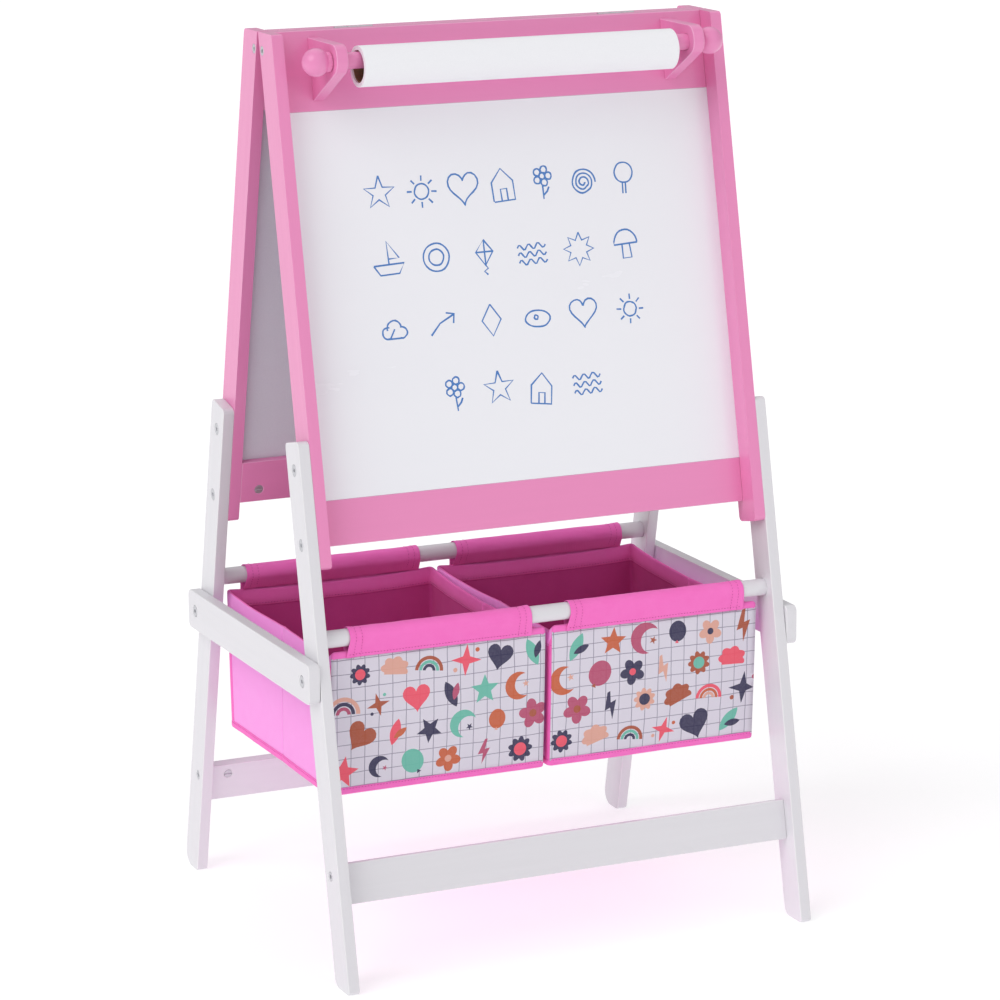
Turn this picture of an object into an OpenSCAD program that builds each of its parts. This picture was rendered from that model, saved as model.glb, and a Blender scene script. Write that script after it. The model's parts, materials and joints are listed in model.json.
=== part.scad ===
// Children's double-sided A-frame easel with a paper roll and two fabric bins.
// Millimetres, +Z up, X across the boards, the front (whiteboard) faces -Y.
// The origin is on the floor, midway between the four feet.

/* [Overall] */
// Width over the outer faces of the legs
overall_width = 560; // [480:5:640]
// Height of the hinge pins above the floor
pin_height = 997.5; // [880:0.5:1100]
// Lean of each frame from the vertical when the easel stands open
lean = 12; // [8:0.5:16]

/* [Timber] */
// Thickness of every flat bar and board rail
stock = 13; // [10:0.5:18]
// Depth of stiles and legs, seen from the side
bar_depth = 38; // [30:1:50]
// Rounding of bar ends
end_round = 6; // [2:0.5:10]

/* [Upper frame] */
// Distance down the frame from the pins to the bottom edge of the top rail
top_rail_end = 88; // [60:1:120]
// Distance down the frame to the bottom edge of the board
board_end = 502; // [400:1:600]
// Distance down the frame to the bottom edge of the bottom rail
bottom_rail_end = 551; // [430:1:660]
// Distance down the frame to the lower end of the stiles
stile_end = 574; // [460:1:700]
// Distance down the frame to the bolts of the bottom rail
bottom_bolt_row = 536.5; // [415:0.5:650]
// Thickness of the whiteboard
board_thickness = 5; // [3:0.5:8]
// Thickness of the chalk sheet on the rear board
chalk_thickness = 1.5; // [1:0.5:3]
// Depth of the grooves in the stiles that hold the boards
board_groove = 4; // [2:0.5:6]

/* [Legs] */
// Distance down the frame to the upper end of the legs
leg_start = 436; // [380:1:500]
// Distances down the frame to the two bolts that join leg and stile
leg_bolt_rows = [466, 546];
// Rounding of the foot on the side that faces the other frame, front legs
front_foot_inner_round = 12; // [2:1:16]
// Rounding of the foot on the outer side, front legs
front_foot_outer_round = 5; // [2:1:16]
// Rounding of the foot on the outer side, rear legs
rear_foot_outer_round = 16; // [2:1:18]
// Distance down the frame to the middle of the foot rails
foot_rail_row = 911; // [860:1:940]
// Distance down the frame to the bolts of the foot rails
foot_bolt_row = 901; // [855:1:935]
// Height of the foot rails and of the side braces
slat_height = 44; // [30:1:60]

/* [Side braces] */
// Distance down the frame to the bolts of the side braces
brace_row = 690; // [620:1:760]
// Timber beyond each brace bolt
brace_tail = 21; // [15:1:30]
// Free space between a brace and the legs
brace_gap = 0.5; // [0.3:0.1:2]

/* [Rods and bins] */
// Diameter of the rods that carry the bins
rod_diameter = 19; // [12:1:25]
// Distance down the frame to the rods
rod_row = 649; // [600:1:700]
// Width over both bins
bins_width = 516; // [400:2:524]
// Gap between the two bins
bins_gap = 5; // [2:1:20]
// Height of the bin floor's underside above the floor
bin_bottom = 190; // [150:1:250]
// Height of the bin rim above the floor
bin_rim = 345; // [300:1:352]
// Thickness of the stiffened bin walls
bin_wall = 2.5; // [1.5:0.5:5]
// Length of the sleeves sewn round the rods
sleeve_length = 214; // [150:2:240]

/* [Paper roll holder] */
// Distance down the frame to the spindle
spindle_row = 41; // [30:1:60]
// Distance of the spindle from the front face of the top rail
spindle_reach = 57.5; // [45:1:80]
// Diameter of the spindle
spindle_diameter = 18; // [12:1:22]
// Reach of the bracket's nose beyond the middle of the spindle
nose_reach = 20.5; // [16:0.5:30]
// Distance of each bracket's middle from the middle of the easel
bracket_x = 210; // [200:1:215]
// Diameter of the ball knobs
knob_diameter = 30; // [24:1:40]
// Width of the paper roll
paper_width = 370; // [280:5:380]
// Outer diameter of the paper roll
paper_diameter = 44; // [38:1:70]
// Inner diameter of the roll's cardboard core
core_bore = 32; // [24:1:34]

/* [Hidden] */
$fn = 48;

// Frame-side positions: v is the distance outwards from the plane through the hinge pins,
// u is the distance down the frame from the pins.
face_v = 1.5;                         // inner faces of stiles, legs and rails
rail_front_v = face_v + stock;        // outer faces of the rails
bar_front_v = face_v + bar_depth;     // outer faces of stiles and legs
bar_middle_v = face_v + bar_depth / 2;
rail_middle_v = face_v + stock / 2;
top_rise = 1.5;                       // stile and rail tops above the pin axis
leg_outer_x = overall_width / 2;
leg_inner_x = leg_outer_x - stock;
stile_inner_x = leg_inner_x - stock;
foot_rail_v = [10, 10 + stock];       // foot rail, inner and outer face
foot_rail_middle_v = 10 + stock / 2;
fit = 0.05;                           // radial room round a fixed pin
running = 0.08;                       // radial room round a turning pin

// Fasteners
bolt_radius = 3;
big_head_radius = 6.4;
small_head_radius = 5.2;
head_depth = 2.6;
head_sunk = 0.2;                      // heads below the face that they are let into
socket_radius = 2.3;                  // hexagon socket in a bolt head
socket_depth = 1.8;
bolt_beyond_nut = 8;
nut_radius = 4.9;
nut_setback = 22;                     // barrel nut from the end of its rail
nut_slot = 1.2;
nut_short = 1.6;                      // end of a nut below the outer face of its rail
insert_radius = 4;                    // threaded insert in a leg
insert_depth = stock - 3;
screw_radius = 2;                     // screws of the roll brackets
screw_head_radius = 4;
screw_grip = 15;                      // length of screw inside a bracket
rail_bolt_rows = [20, bottom_bolt_row];

// Hinges
hinge_x = 157;
hinge_length = 44;
knuckle_radius = 2.5;
hinge_pin_radius = 1.3;
leaf_thickness = 1.2;
leaf_drop = 24;
knuckle_gap = 0.3;
knuckle = (hinge_length - 2 * knuckle_gap) / 3;
hinge_screw_x = [-15, 0, 15];
hinge_screw_row = 14;
hinge_screw_radius = 1.4;
hinge_head_radius = 2.5;
hinge_screw_length = 9.5;
hinge_recess = [3.2, 3.2];            // let into the rails for the knuckles: v and u

// Roll holder
spindle_v = rail_front_v + spindle_reach;
spindle_radius = spindle_diameter / 2;
knob_radius = knob_diameter / 2;
knob_x = bracket_x + stock / 2 + knob_radius + 1;
knob_socket = 12;
spindle_end = knob_x - knob_radius + knob_socket;
bracket_rows = [9, 77];               // where a bracket meets the rail
nose_rows = [26, 52];                 // corners of its nose, before rounding
nose_round = 15;
bracket_screw_rows = [26, 62];
core_wall = 1.5;
roll_drop = core_bore / 2 - spindle_radius - 0.3;

// Rods and bins
rod_radius = rod_diameter / 2;
rod_v = bar_middle_v - 2;
rod_socket = 8;
sleeve_bore = rod_radius + 0.3;
sleeve_radius = sleeve_bore + 2.1;
bin_half_depth = 156;
bin_width = (bins_width - bins_gap) / 2;
bin_middle_x = (bins_gap + bin_width) / 2;
rod_y = rod_row * sin(lean) + rod_v * cos(lean);
rod_z = pin_height - rod_row * cos(lean) + rod_v * sin(lean);

// Braces
brace_y = brace_row * sin(lean) + bar_middle_v * cos(lean);
brace_z = pin_height - brace_row * cos(lean) + bar_middle_v * sin(lean);
brace_inner_x = leg_outer_x + brace_gap;
brace_round = 7;
insert_x = leg_outer_x - insert_depth - 0.5;

pink = [0.93, 0.55, 0.76];
white = [0.90, 0.89, 0.92];
steel = [0.72, 0.73, 0.75];
hot_pink = [0.98, 0.38, 0.76];

// Row u, at distance v, that lies on the floor or level with the stile tops
function floor_u(v) = (pin_height + v * sin(lean)) / cos(lean);
function top_u(v) = (v * sin(lean) - top_rise) / cos(lean);

// Corner b of an outline rounded to radius r between its neighbours a and c
function unit(p) = p / norm(p);
function turn(d) = d > 180 ? d - 360 : (d < -180 ? d + 360 : d);
function corner(a, b, c, r, steps = 8) =
  let (
    to_a = unit(a - b),
    to_c = unit(c - b),
    half = acos(to_a * to_c) / 2,
    centre = b + unit(to_a + to_c) * r / sin(half),
    first = b + to_a * r / tan(half) - centre,
    last = b + to_c * r / tan(half) - centre,
    from = atan2(first[1], first[0]),
    sweep = turn(atan2(last[1], last[0]) - from)
  )
  [for (i = [0:steps]) centre + r * [cos(from + sweep * i / steps), sin(from + sweep * i / steps)]];
function rounded(points, radii) =
  let (n = len(points))
  [for (i = [0:n - 1])
    each radii[i] == 0
      ? [points[i]]
      : corner(points[(i + n - 1) % n], points[i], points[(i + 1) % n], radii[i])];

// ---- placing ----

// Children drawn with x, y = -v and z = -u land on the leaning front frame
module on_front() {
  translate([0, 0, pin_height])
    rotate([-lean, 0, 0])
      children();
}

module on_rear() {
  mirror([0, 1, 0])
    on_front()
      children();
}

module block(x, v, u) {
  translate([x[0], -v[1], -u[1]])
    cube([x[1] - x[0], v[1] - v[0], u[1] - u[0]]);
}

// A bar of one thickness whose side outline is given as [v, u] corners
module side_bar(x, outline, radii) {
  points = [for (p = outline) [-p[0], -p[1]]];
  translate([x, 0, 0])
    rotate([90, 0, 90])
      linear_extrude(stock)
        polygon(rounded(points, radii));
}

// A round pin or hole along X
module pin_x(x, v, u, radius) {
  translate([x[0], -v, -u])
    rotate([0, 90, 0])
      cylinder(h = x[1] - x[0], r = radius);
}

// A round pin or hole square to the boards
module pin_v(x, v, u, radius) {
  translate([x, -v[0], -u])
    rotate([90, 0, 0])
      cylinder(h = v[1] - v[0], r = radius);
}

module both_sides() {
  children();
  mirror([1, 0, 0])
    children();
}

// ---- upper frames ----

module stile(side) {
  x = side < 0 ? -leg_inner_x : stile_inner_x;
  outline = [[face_v, top_u(face_v)], [bar_front_v, top_u(bar_front_v)],
             [bar_front_v, stile_end], [face_v, stile_end]];
  groove_v = [rail_front_v - board_thickness, rail_front_v];
  difference() {
    side_bar(x, outline, [1, 5, end_round, end_round]);
    mirror([side < 0 ? 1 : 0, 0, 0]) {
      block([stile_inner_x - 1, stile_inner_x + board_groove], groove_v, [top_rail_end, board_end]);
      for (u = rail_bolt_rows) {
        pin_x([stile_inner_x - 1, leg_inner_x + 1], rail_middle_v, u, bolt_radius + fit);
        pin_x([leg_inner_x - head_depth - head_sunk, leg_inner_x + 1], rail_middle_v, u,
              small_head_radius + fit);
      }
      for (u = leg_bolt_rows)
        pin_x([stile_inner_x + 2, leg_inner_x + 1], bar_middle_v, u, bolt_radius + fit);
    }
  }
}

// Bolt and nut holes at both ends of a rail that spans to x = half
module rail_end_holes(half, v, row, outer_v) {
  both_sides() {
    pin_x([half - nut_setback - bolt_beyond_nut - 4, half + 1], v, row, bolt_radius + fit);
    pin_v(half - nut_setback, [outer_v - stock - 1, outer_v - nut_short + 0.1], row, nut_radius + fit);
  }
}

module top_rail() {
  outline = [[face_v, top_u(face_v)], [rail_front_v, top_u(rail_front_v)],
             [rail_front_v, top_rail_end], [face_v, top_rail_end]];
  points = [for (p = outline) [-p[0], -p[1]]];
  difference() {
    translate([-stile_inner_x, 0, 0])
      rotate([90, 0, 90])
        linear_extrude(2 * stile_inner_x)
          polygon(points);
    rail_end_holes(stile_inner_x, rail_middle_v, rail_bolt_rows[0], rail_front_v);
    both_sides() {
      block([hinge_x - hinge_length / 2 - 1, hinge_x + hinge_length / 2 + 1],
            [face_v - 1, hinge_recess[0]], [-10, hinge_recess[1]]);
      for (x = hinge_screw_x)
        pin_v(hinge_x + x, [face_v - 1, face_v + hinge_screw_length + 0.5], hinge_screw_row,
              hinge_screw_radius + fit);
    }
  }
}

module front_top_rail() {
  color(pink)
    on_front()
      difference() {
        top_rail();
        both_sides()
          for (u = bracket_screw_rows) {
            pin_v(bracket_x, [face_v - 1, rail_front_v + 1], u, screw_radius + fit);
            pin_v(bracket_x, [face_v - 1, face_v + 2.2], u, screw_head_radius + fit);
          }
      }
}

module bottom_rail() {
  difference() {
    block([-stile_inner_x, stile_inner_x], [face_v, rail_front_v], [board_end, bottom_rail_end]);
    rail_end_holes(stile_inner_x, rail_middle_v, rail_bolt_rows[1], rail_front_v);
  }
}

module board(v) {
  half = stile_inner_x + board_groove;
  block([-half, half], v, [top_rail_end, board_end]);
}

module whiteboard() {
  color([0.93, 0.93, 0.95])
    on_front()
      board([rail_front_v - board_thickness, rail_front_v]);
}

module rear_board() {
  color([0.82, 0.81, 0.85])
    on_rear()
      board([rail_front_v - board_thickness, rail_front_v - chalk_thickness]);
}

module chalk_sheet() {
  color([0.10, 0.11, 0.11])
    on_rear()
      board([rail_front_v - chalk_thickness, rail_front_v]);
}

// ---- legs and foot rails ----

module leg(side, outer_round, inner_round) {
  x = side < 0 ? -leg_outer_x : leg_inner_x;
  outline = [[face_v, leg_start], [bar_front_v, leg_start],
             [bar_front_v, floor_u(bar_front_v)], [face_v, floor_u(face_v)]];
  difference() {
    side_bar(x, outline, [end_round, end_round, outer_round, inner_round]);
    mirror([side < 0 ? 1 : 0, 0, 0]) {
      for (u = leg_bolt_rows) {
        pin_x([leg_inner_x - 1, leg_outer_x + 1], bar_middle_v, u, bolt_radius + fit);
        pin_x([leg_outer_x - head_depth - head_sunk, leg_outer_x + 1], bar_middle_v, u,
              big_head_radius + fit);
      }
      pin_x([leg_inner_x - 1, leg_outer_x + 1], foot_rail_middle_v, foot_bolt_row, bolt_radius + fit);
      pin_x([leg_outer_x - head_depth - head_sunk, leg_outer_x + 1], foot_rail_middle_v, foot_bolt_row,
            small_head_radius + fit);
      pin_x([leg_inner_x - 1, leg_inner_x + rod_socket], rod_v, rod_row, rod_radius + fit);
      pin_x([leg_outer_x - insert_depth - 1, leg_outer_x + 1], bar_middle_v, brace_row, insert_radius + fit);
    }
  }
}

module foot_rail() {
  u = [foot_rail_row - slat_height / 2, foot_rail_row + slat_height / 2];
  difference() {
    block([-leg_inner_x, leg_inner_x], foot_rail_v, u);
    rail_end_holes(leg_inner_x, foot_rail_middle_v, foot_bolt_row, foot_rail_v[1]);
  }
}

module rod() {
  half = leg_inner_x + rod_socket;
  pin_x([-half, half], rod_v, rod_row, rod_radius);
}

// ---- fasteners, each group in one frame ----

// A bolt from the right whose head is sunk below the face at x = head_x
module bolt(head_x, tip_x, v, u, head_radius) {
  top = head_x - head_sunk;
  difference() {
    union() {
      pin_x([top - head_depth, top], v, u, head_radius);
      pin_x([tip_x, top - head_depth + 0.01], v, u, bolt_radius);
    }
    translate([top - socket_depth, -v, -u])
      rotate([0, 90, 0])
        cylinder(h = 3, r = socket_radius, $fn = 6);
  }
}

// A slotted cross-dowel nut with its threaded cross hole
module barrel_nut(x, v, bolt_v, u) {
  difference() {
    pin_v(x, v, u, nut_radius);
    pin_x([x - 8, x + 8], bolt_v, u, bolt_radius + fit);
    block([x - nut_radius, x + nut_radius], [v[0] - 1, v[0] + 1], [u - nut_slot / 2, u + nut_slot / 2]);
  }
}

module leg_bolts() {
  both_sides()
    for (u = leg_bolt_rows)
      bolt(leg_outer_x, stile_inner_x + 2.5, bar_middle_v, u, big_head_radius);
}

module rail_bolts() {
  both_sides()
    for (u = rail_bolt_rows)
      bolt(leg_inner_x, stile_inner_x - nut_setback - bolt_beyond_nut, rail_middle_v, u, small_head_radius);
}

module rail_nuts() {
  both_sides()
    for (u = rail_bolt_rows)
      barrel_nut(stile_inner_x - nut_setback, [face_v, rail_front_v - nut_short], rail_middle_v, u);
}

module foot_bolts() {
  both_sides()
    bolt(leg_outer_x, leg_inner_x - nut_setback - bolt_beyond_nut, foot_rail_middle_v, foot_bolt_row,
         small_head_radius);
}

module foot_nuts() {
  both_sides()
    barrel_nut(leg_inner_x - nut_setback, [foot_rail_v[0], foot_rail_v[1] - nut_short],
               foot_rail_middle_v, foot_bolt_row);
}

// ---- hinges ----

// Half a butt hinge; outer leaves carry the two end knuckles, inner ones the middle knuckle
module hinge_leaf(middle, outer) {
  first = middle - hinge_length / 2;
  spans = outer
    ? [[first, first + knuckle], [first + hinge_length - knuckle, first + hinge_length]]
    : [[first + knuckle + knuckle_gap, first + 2 * knuckle + knuckle_gap]];
  leaf_v = [face_v - leaf_thickness, face_v];
  difference() {
    union() {
      block([first, first + hinge_length], leaf_v, [3, leaf_drop]);
      for (s = spans) {
        pin_x(s, 0, 0, knuckle_radius);
        block(s, leaf_v, [0, 4]);
      }
    }
    pin_x([first - 1, first + hinge_length + 1], 0, 0, hinge_pin_radius + (outer ? fit : running));
    for (x = hinge_screw_x)
      pin_v(middle + x, [-1, face_v + 1], hinge_screw_row, hinge_head_radius + 0.1);
  }
}

module hinge_pin(middle) {
  color(steel)
    on_front()
      pin_x([middle - hinge_length / 2 - 0.6, middle + hinge_length / 2 + 0.6], 0, 0, hinge_pin_radius);
}

// Wood screws through the leaves, heads just below the leaf faces
module hinge_screws() {
  both_sides()
    for (x = hinge_screw_x)
      difference() {
        union() {
          pin_v(hinge_x + x, [face_v - leaf_thickness + 0.1, face_v], hinge_screw_row, hinge_head_radius);
          pin_v(hinge_x + x, [face_v - 0.01, face_v + hinge_screw_length], hinge_screw_row,
                hinge_screw_radius);
        }
        block([hinge_x + x - 1.8, hinge_x + x + 1.8], [-1, face_v - 0.6],
              [hinge_screw_row - 0.3, hinge_screw_row + 0.3]);
      }
}

// ---- paper roll holder ----

module roll_bracket(middle) {
  nose_v = spindle_v + nose_reach;
  outline = [[rail_front_v, bracket_rows[0]], [nose_v, nose_rows[0]],
             [nose_v, nose_rows[1]], [rail_front_v, bracket_rows[1]]];
  color(pink)
    on_front()
      difference() {
        side_bar(middle - stock / 2, outline, [0, nose_round, nose_round, 0]);
        pin_x([middle - stock, middle + stock], spindle_v, spindle_row, spindle_radius + running);
        for (u = bracket_screw_rows)
          pin_v(middle, [rail_front_v - 1, rail_front_v + screw_grip + 1], u, screw_radius + fit);
      }
}

module bracket_screws() {
  color(steel)
    on_front()
      both_sides()
        for (u = bracket_screw_rows)
          difference() {
            union() {
              pin_v(bracket_x, [face_v + 0.2, face_v + 2.2], u, screw_head_radius);
              pin_v(bracket_x, [face_v + 2.19, rail_front_v + screw_grip], u, screw_radius);
            }
            block([bracket_x - 3, bracket_x + 3], [face_v - 1, face_v + 1], [u - 0.5, u + 0.5]);
            block([bracket_x - 0.5, bracket_x + 0.5], [face_v - 1, face_v + 1], [u - 3, u + 3]);
          }
}

module spindle_dowel() {
  color(pink)
    on_front()
      pin_x([-spindle_end, spindle_end], spindle_v, spindle_row, spindle_radius);
}

module spindle_knob(side) {
  color(pink)
    on_front()
      mirror([side < 0 ? 1 : 0, 0, 0])
        difference() {
          union() {
            translate([knob_x, -spindle_v, -spindle_row])
              sphere(r = knob_radius);
            pin_x([knob_x - knob_radius, knob_x], spindle_v, spindle_row, spindle_radius + 1.8);
          }
          pin_x([knob_x - knob_radius - 1, spindle_end + fit], spindle_v, spindle_row, spindle_radius + fit);
        }
}

// A tube of the roll, which hangs with the top of its bore on the spindle
module roll_tube(length, inner, outer) {
  on_front()
    translate([0, -spindle_v, -spindle_row])
      rotate([lean, 0, 0])
        translate([-length / 2, 0, -roll_drop])
          rotate([0, 90, 0])
            difference() {
              cylinder(h = length, r = outer, $fn = 96);
              translate([0, 0, -1])
                cylinder(h = length + 2, r = inner, $fn = 96);
            }
}

module roll_core() {
  color([0.62, 0.47, 0.33])
    roll_tube(paper_width - 4, core_bore / 2, core_bore / 2 + core_wall);
}

module roll_paper() {
  color([0.95, 0.95, 0.97])
    roll_tube(paper_width, core_bore / 2 + core_wall, paper_diameter / 2);
}

// ---- side braces ----

// The brace stands along Y and turns on the bolt in the front leg
module side_brace(side) {
  half = brace_y + brace_tail;
  z = [brace_z - slat_height / 2, brace_z + slat_height / 2];
  outline = [[-half, z[0]], [half, z[0]], [half, z[1]], [-half, z[1]]];
  color(white)
    mirror([side < 0 ? 1 : 0, 0, 0])
      difference() {
        translate([brace_inner_x, 0, 0])
          rotate([90, 0, 90])
            linear_extrude(stock)
              polygon(rounded(outline, [brace_round, brace_round, brace_round, brace_round]));
        for (y = [-brace_y, brace_y])
          translate([brace_inner_x - 1, y, brace_z])
            rotate([0, 90, 0]) {
              cylinder(h = stock + 2, r = bolt_radius + running);
              translate([0, 0, stock + 1 - head_depth - 0.5])
                cylinder(h = 5, r = big_head_radius + 0.3);
            }
      }
}

module brace_bolt(y, tip_x) {
  top = brace_inner_x + stock - head_sunk;
  difference() {
    union() {
      translate([top - head_depth, y, brace_z])
        rotate([0, 90, 0])
          cylinder(h = head_depth, r = big_head_radius);
      translate([tip_x, y, brace_z])
        rotate([0, 90, 0])
          cylinder(h = top - head_depth - tip_x + 0.01, r = bolt_radius);
    }
    translate([top - socket_depth, y, brace_z])
      rotate([0, 90, 0])
        cylinder(h = 3, r = socket_radius, $fn = 6);
  }
}

// Pivot bolts with a wider threaded insert in each front leg
module brace_pivot_bolts() {
  color(steel)
    both_sides() {
      brace_bolt(-brace_y, insert_x);
      translate([insert_x, -brace_y, brace_z])
        rotate([0, 90, 0])
          cylinder(h = insert_depth, r = insert_radius);
    }
}

// The bolt that joins brace and rear leg stays in the brace and stops at its inner face
module brace_end_bolt(side) {
  color(steel)
    mirror([side < 0 ? 1 : 0, 0, 0])
      brace_bolt(brace_y, brace_inner_x + 0.1);
}

// Threaded inserts in the rear legs, empty when the end bolts are out
module brace_inserts() {
  color(steel)
    both_sides()
      translate([insert_x, brace_y, brace_z])
        rotate([0, 90, 0])
          difference() {
            cylinder(h = insert_depth, r = insert_radius);
            translate([0, 0, 2])
              cylinder(h = stock, r = bolt_radius);
          }
}

// ---- fabric bins ----

module bin(side) {
  x = side * bin_middle_x - bin_width / 2;
  sleeve_x = side * bin_middle_x - sleeve_length / 2;
  color(hot_pink)
    difference() {
      union() {
        difference() {
          translate([x, -bin_half_depth, bin_bottom])
            cube([bin_width, 2 * bin_half_depth, bin_rim - bin_bottom]);
          translate([x + bin_wall, bin_wall - bin_half_depth, bin_bottom + bin_wall])
            cube([bin_width - 2 * bin_wall, 2 * (bin_half_depth - bin_wall), bin_rim]);
        }
        for (way = [-1, 1]) {
          translate([sleeve_x, way * rod_y, rod_z])
            rotate([0, 90, 0])
              cylinder(h = sleeve_length, r = sleeve_radius);
          translate([sleeve_x, way * (bin_half_depth - bin_wall / 2) - bin_wall / 2, bin_rim - 1])
            cube([sleeve_length, bin_wall, rod_z - bin_rim - 3]);
        }
      }
      for (way = [-1, 1])
        translate([sleeve_x - 1, way * rod_y, rod_z])
          rotate([0, 90, 0])
            cylinder(h = sleeve_length + 2, r = sleeve_bore);
    }
}

// ---- what each node draws ----

module front_stile_left() { color(pink) on_front() stile(-1); }
module front_stile_right() { color(pink) on_front() stile(1); }
module front_bottom_rail() { color(pink) on_front() bottom_rail(); }
module front_leg_left() { color(white) on_front() leg(-1, front_foot_outer_round, front_foot_inner_round); }
module front_leg_right() { color(white) on_front() leg(1, front_foot_outer_round, front_foot_inner_round); }
module front_foot_rail() { color(white) on_front() foot_rail(); }
module front_rod() { color(white) on_front() rod(); }
module roll_bracket_left() { roll_bracket(-bracket_x); }
module roll_bracket_right() { roll_bracket(bracket_x); }
module hinge_leaf_front_left() { color(steel) on_front() hinge_leaf(-hinge_x, true); }
module hinge_leaf_front_right() { color(steel) on_front() hinge_leaf(hinge_x, true); }
module hinge_pin_left() { hinge_pin(-hinge_x); }
module hinge_pin_right() { hinge_pin(hinge_x); }
module front_hinge_screws() { color(steel) on_front() hinge_screws(); }
module front_leg_bolts() { color(steel) on_front() leg_bolts(); }
module front_rail_bolts() { color(steel) on_front() rail_bolts(); }
module front_rail_nuts() { color(steel) on_front() rail_nuts(); }
module front_foot_bolts() { color(steel) on_front() foot_bolts(); }
module front_foot_nuts() { color(steel) on_front() foot_nuts(); }
module bin_left() { bin(-1); }
module bin_right() { bin(1); }
module rear_stile_left() { color(pink) on_rear() stile(-1); }
module rear_stile_right() { color(pink) on_rear() stile(1); }
module rear_top_rail() { color(pink) on_rear() top_rail(); }
module rear_bottom_rail() { color(pink) on_rear() bottom_rail(); }
module rear_leg_left() { color(white) on_rear() leg(-1, rear_foot_outer_round, front_foot_outer_round); }
module rear_leg_right() { color(white) on_rear() leg(1, rear_foot_outer_round, front_foot_outer_round); }
module rear_foot_rail() { color(white) on_rear() foot_rail(); }
module rear_rod() { color(white) on_rear() rod(); }
module hinge_leaf_rear_left() { color(steel) on_rear() hinge_leaf(-hinge_x, false); }
module hinge_leaf_rear_right() { color(steel) on_rear() hinge_leaf(hinge_x, false); }
module rear_hinge_screws() { color(steel) on_rear() hinge_screws(); }
module rear_leg_bolts() { color(steel) on_rear() leg_bolts(); }
module rear_rail_bolts() { color(steel) on_rear() rail_bolts(); }
module rear_rail_nuts() { color(steel) on_rear() rail_nuts(); }
module rear_foot_bolts() { color(steel) on_rear() foot_bolts(); }
module rear_foot_nuts() { color(steel) on_rear() foot_nuts(); }
module side_brace_left() { side_brace(-1); }
module brace_end_bolt_left() { brace_end_bolt(-1); }
module side_brace_right() { side_brace(1); }
module brace_end_bolt_right() { brace_end_bolt(1); }
module spindle_knob_left() { spindle_knob(-1); }
module spindle_knob_right() { spindle_knob(1); }

front_stile_left();
front_stile_right();
front_top_rail();
front_bottom_rail();
whiteboard();
front_leg_left();
front_leg_right();
front_foot_rail();
front_rod();
roll_bracket_left();
roll_bracket_right();
bracket_screws();
hinge_leaf_front_left();
hinge_leaf_front_right();
hinge_pin_left();
hinge_pin_right();
front_hinge_screws();
front_leg_bolts();
front_rail_bolts();
front_rail_nuts();
front_foot_bolts();
front_foot_nuts();
brace_pivot_bolts();
bin_left();
bin_right();
rear_stile_left();
rear_stile_right();
rear_top_rail();
rear_bottom_rail();
rear_board();
chalk_sheet();
rear_leg_left();
rear_leg_right();
rear_foot_rail();
rear_rod();
hinge_leaf_rear_left();
hinge_leaf_rear_right();
rear_hinge_screws();
rear_leg_bolts();
rear_rail_bolts();
rear_rail_nuts();
rear_foot_bolts();
rear_foot_nuts();
brace_inserts();
side_brace_left();
brace_end_bolt_left();
side_brace_right();
brace_end_bolt_right();
spindle_dowel();
spindle_knob_left();
spindle_knob_right();
roll_core();
roll_paper();
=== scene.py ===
import json
import math

import bpy
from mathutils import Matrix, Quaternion, Vector, noise
from mathutils.geometry import delaunay_2d_cdt


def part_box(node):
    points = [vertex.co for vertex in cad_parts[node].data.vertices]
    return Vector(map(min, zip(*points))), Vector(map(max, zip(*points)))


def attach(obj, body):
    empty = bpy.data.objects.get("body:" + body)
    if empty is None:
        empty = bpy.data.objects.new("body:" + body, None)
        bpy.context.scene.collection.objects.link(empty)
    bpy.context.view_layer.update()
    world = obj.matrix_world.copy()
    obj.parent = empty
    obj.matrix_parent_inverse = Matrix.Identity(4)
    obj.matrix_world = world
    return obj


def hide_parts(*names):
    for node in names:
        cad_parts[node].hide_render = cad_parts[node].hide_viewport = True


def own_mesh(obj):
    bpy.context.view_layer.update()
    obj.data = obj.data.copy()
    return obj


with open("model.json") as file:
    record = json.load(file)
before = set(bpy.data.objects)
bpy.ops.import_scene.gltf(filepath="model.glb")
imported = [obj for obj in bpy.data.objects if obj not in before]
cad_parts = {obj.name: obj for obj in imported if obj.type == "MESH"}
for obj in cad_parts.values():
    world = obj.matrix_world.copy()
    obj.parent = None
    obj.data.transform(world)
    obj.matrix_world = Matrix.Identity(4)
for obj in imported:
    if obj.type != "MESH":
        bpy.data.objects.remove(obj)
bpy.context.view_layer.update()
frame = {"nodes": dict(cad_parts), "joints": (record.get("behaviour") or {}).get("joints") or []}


# ---- Camera, floor and light ----
# The easel stands on a plain pale floor, seen from its front left and a little above.
# A wide soft light on the left brightens the outer sides of the bars; the rest is fill.

view_turn = math.radians(-24.36)
view_lift = math.radians(12.58)
view_roll = math.radians(-0.27)
view_distance = 4.338
orbit_centre = Vector((0.0, 0.0, 0.5))
aim_point = Vector((0.0079, -0.0127, 0.4629))
away = Vector((
    math.sin(view_turn) * math.cos(view_lift),
    -math.cos(view_turn) * math.cos(view_lift),
    math.sin(view_lift),
))
camera = bpy.data.objects.new("camera", bpy.data.cameras.new("camera"))
camera.data.sensor_width = 36.0
camera.data.lens = 139.5
camera.location = orbit_centre + away * view_distance
camera.rotation_mode = "QUATERNION"
towards = (aim_point - camera.location).to_track_quat("-Z", "Y")
camera.rotation_quaternion = towards @ Quaternion((0.0, 0.0, 1.0), view_roll)
bpy.context.scene.collection.objects.link(camera)
bpy.context.scene.camera = camera
bpy.context.scene.view_settings.view_transform = "Standard"


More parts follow.
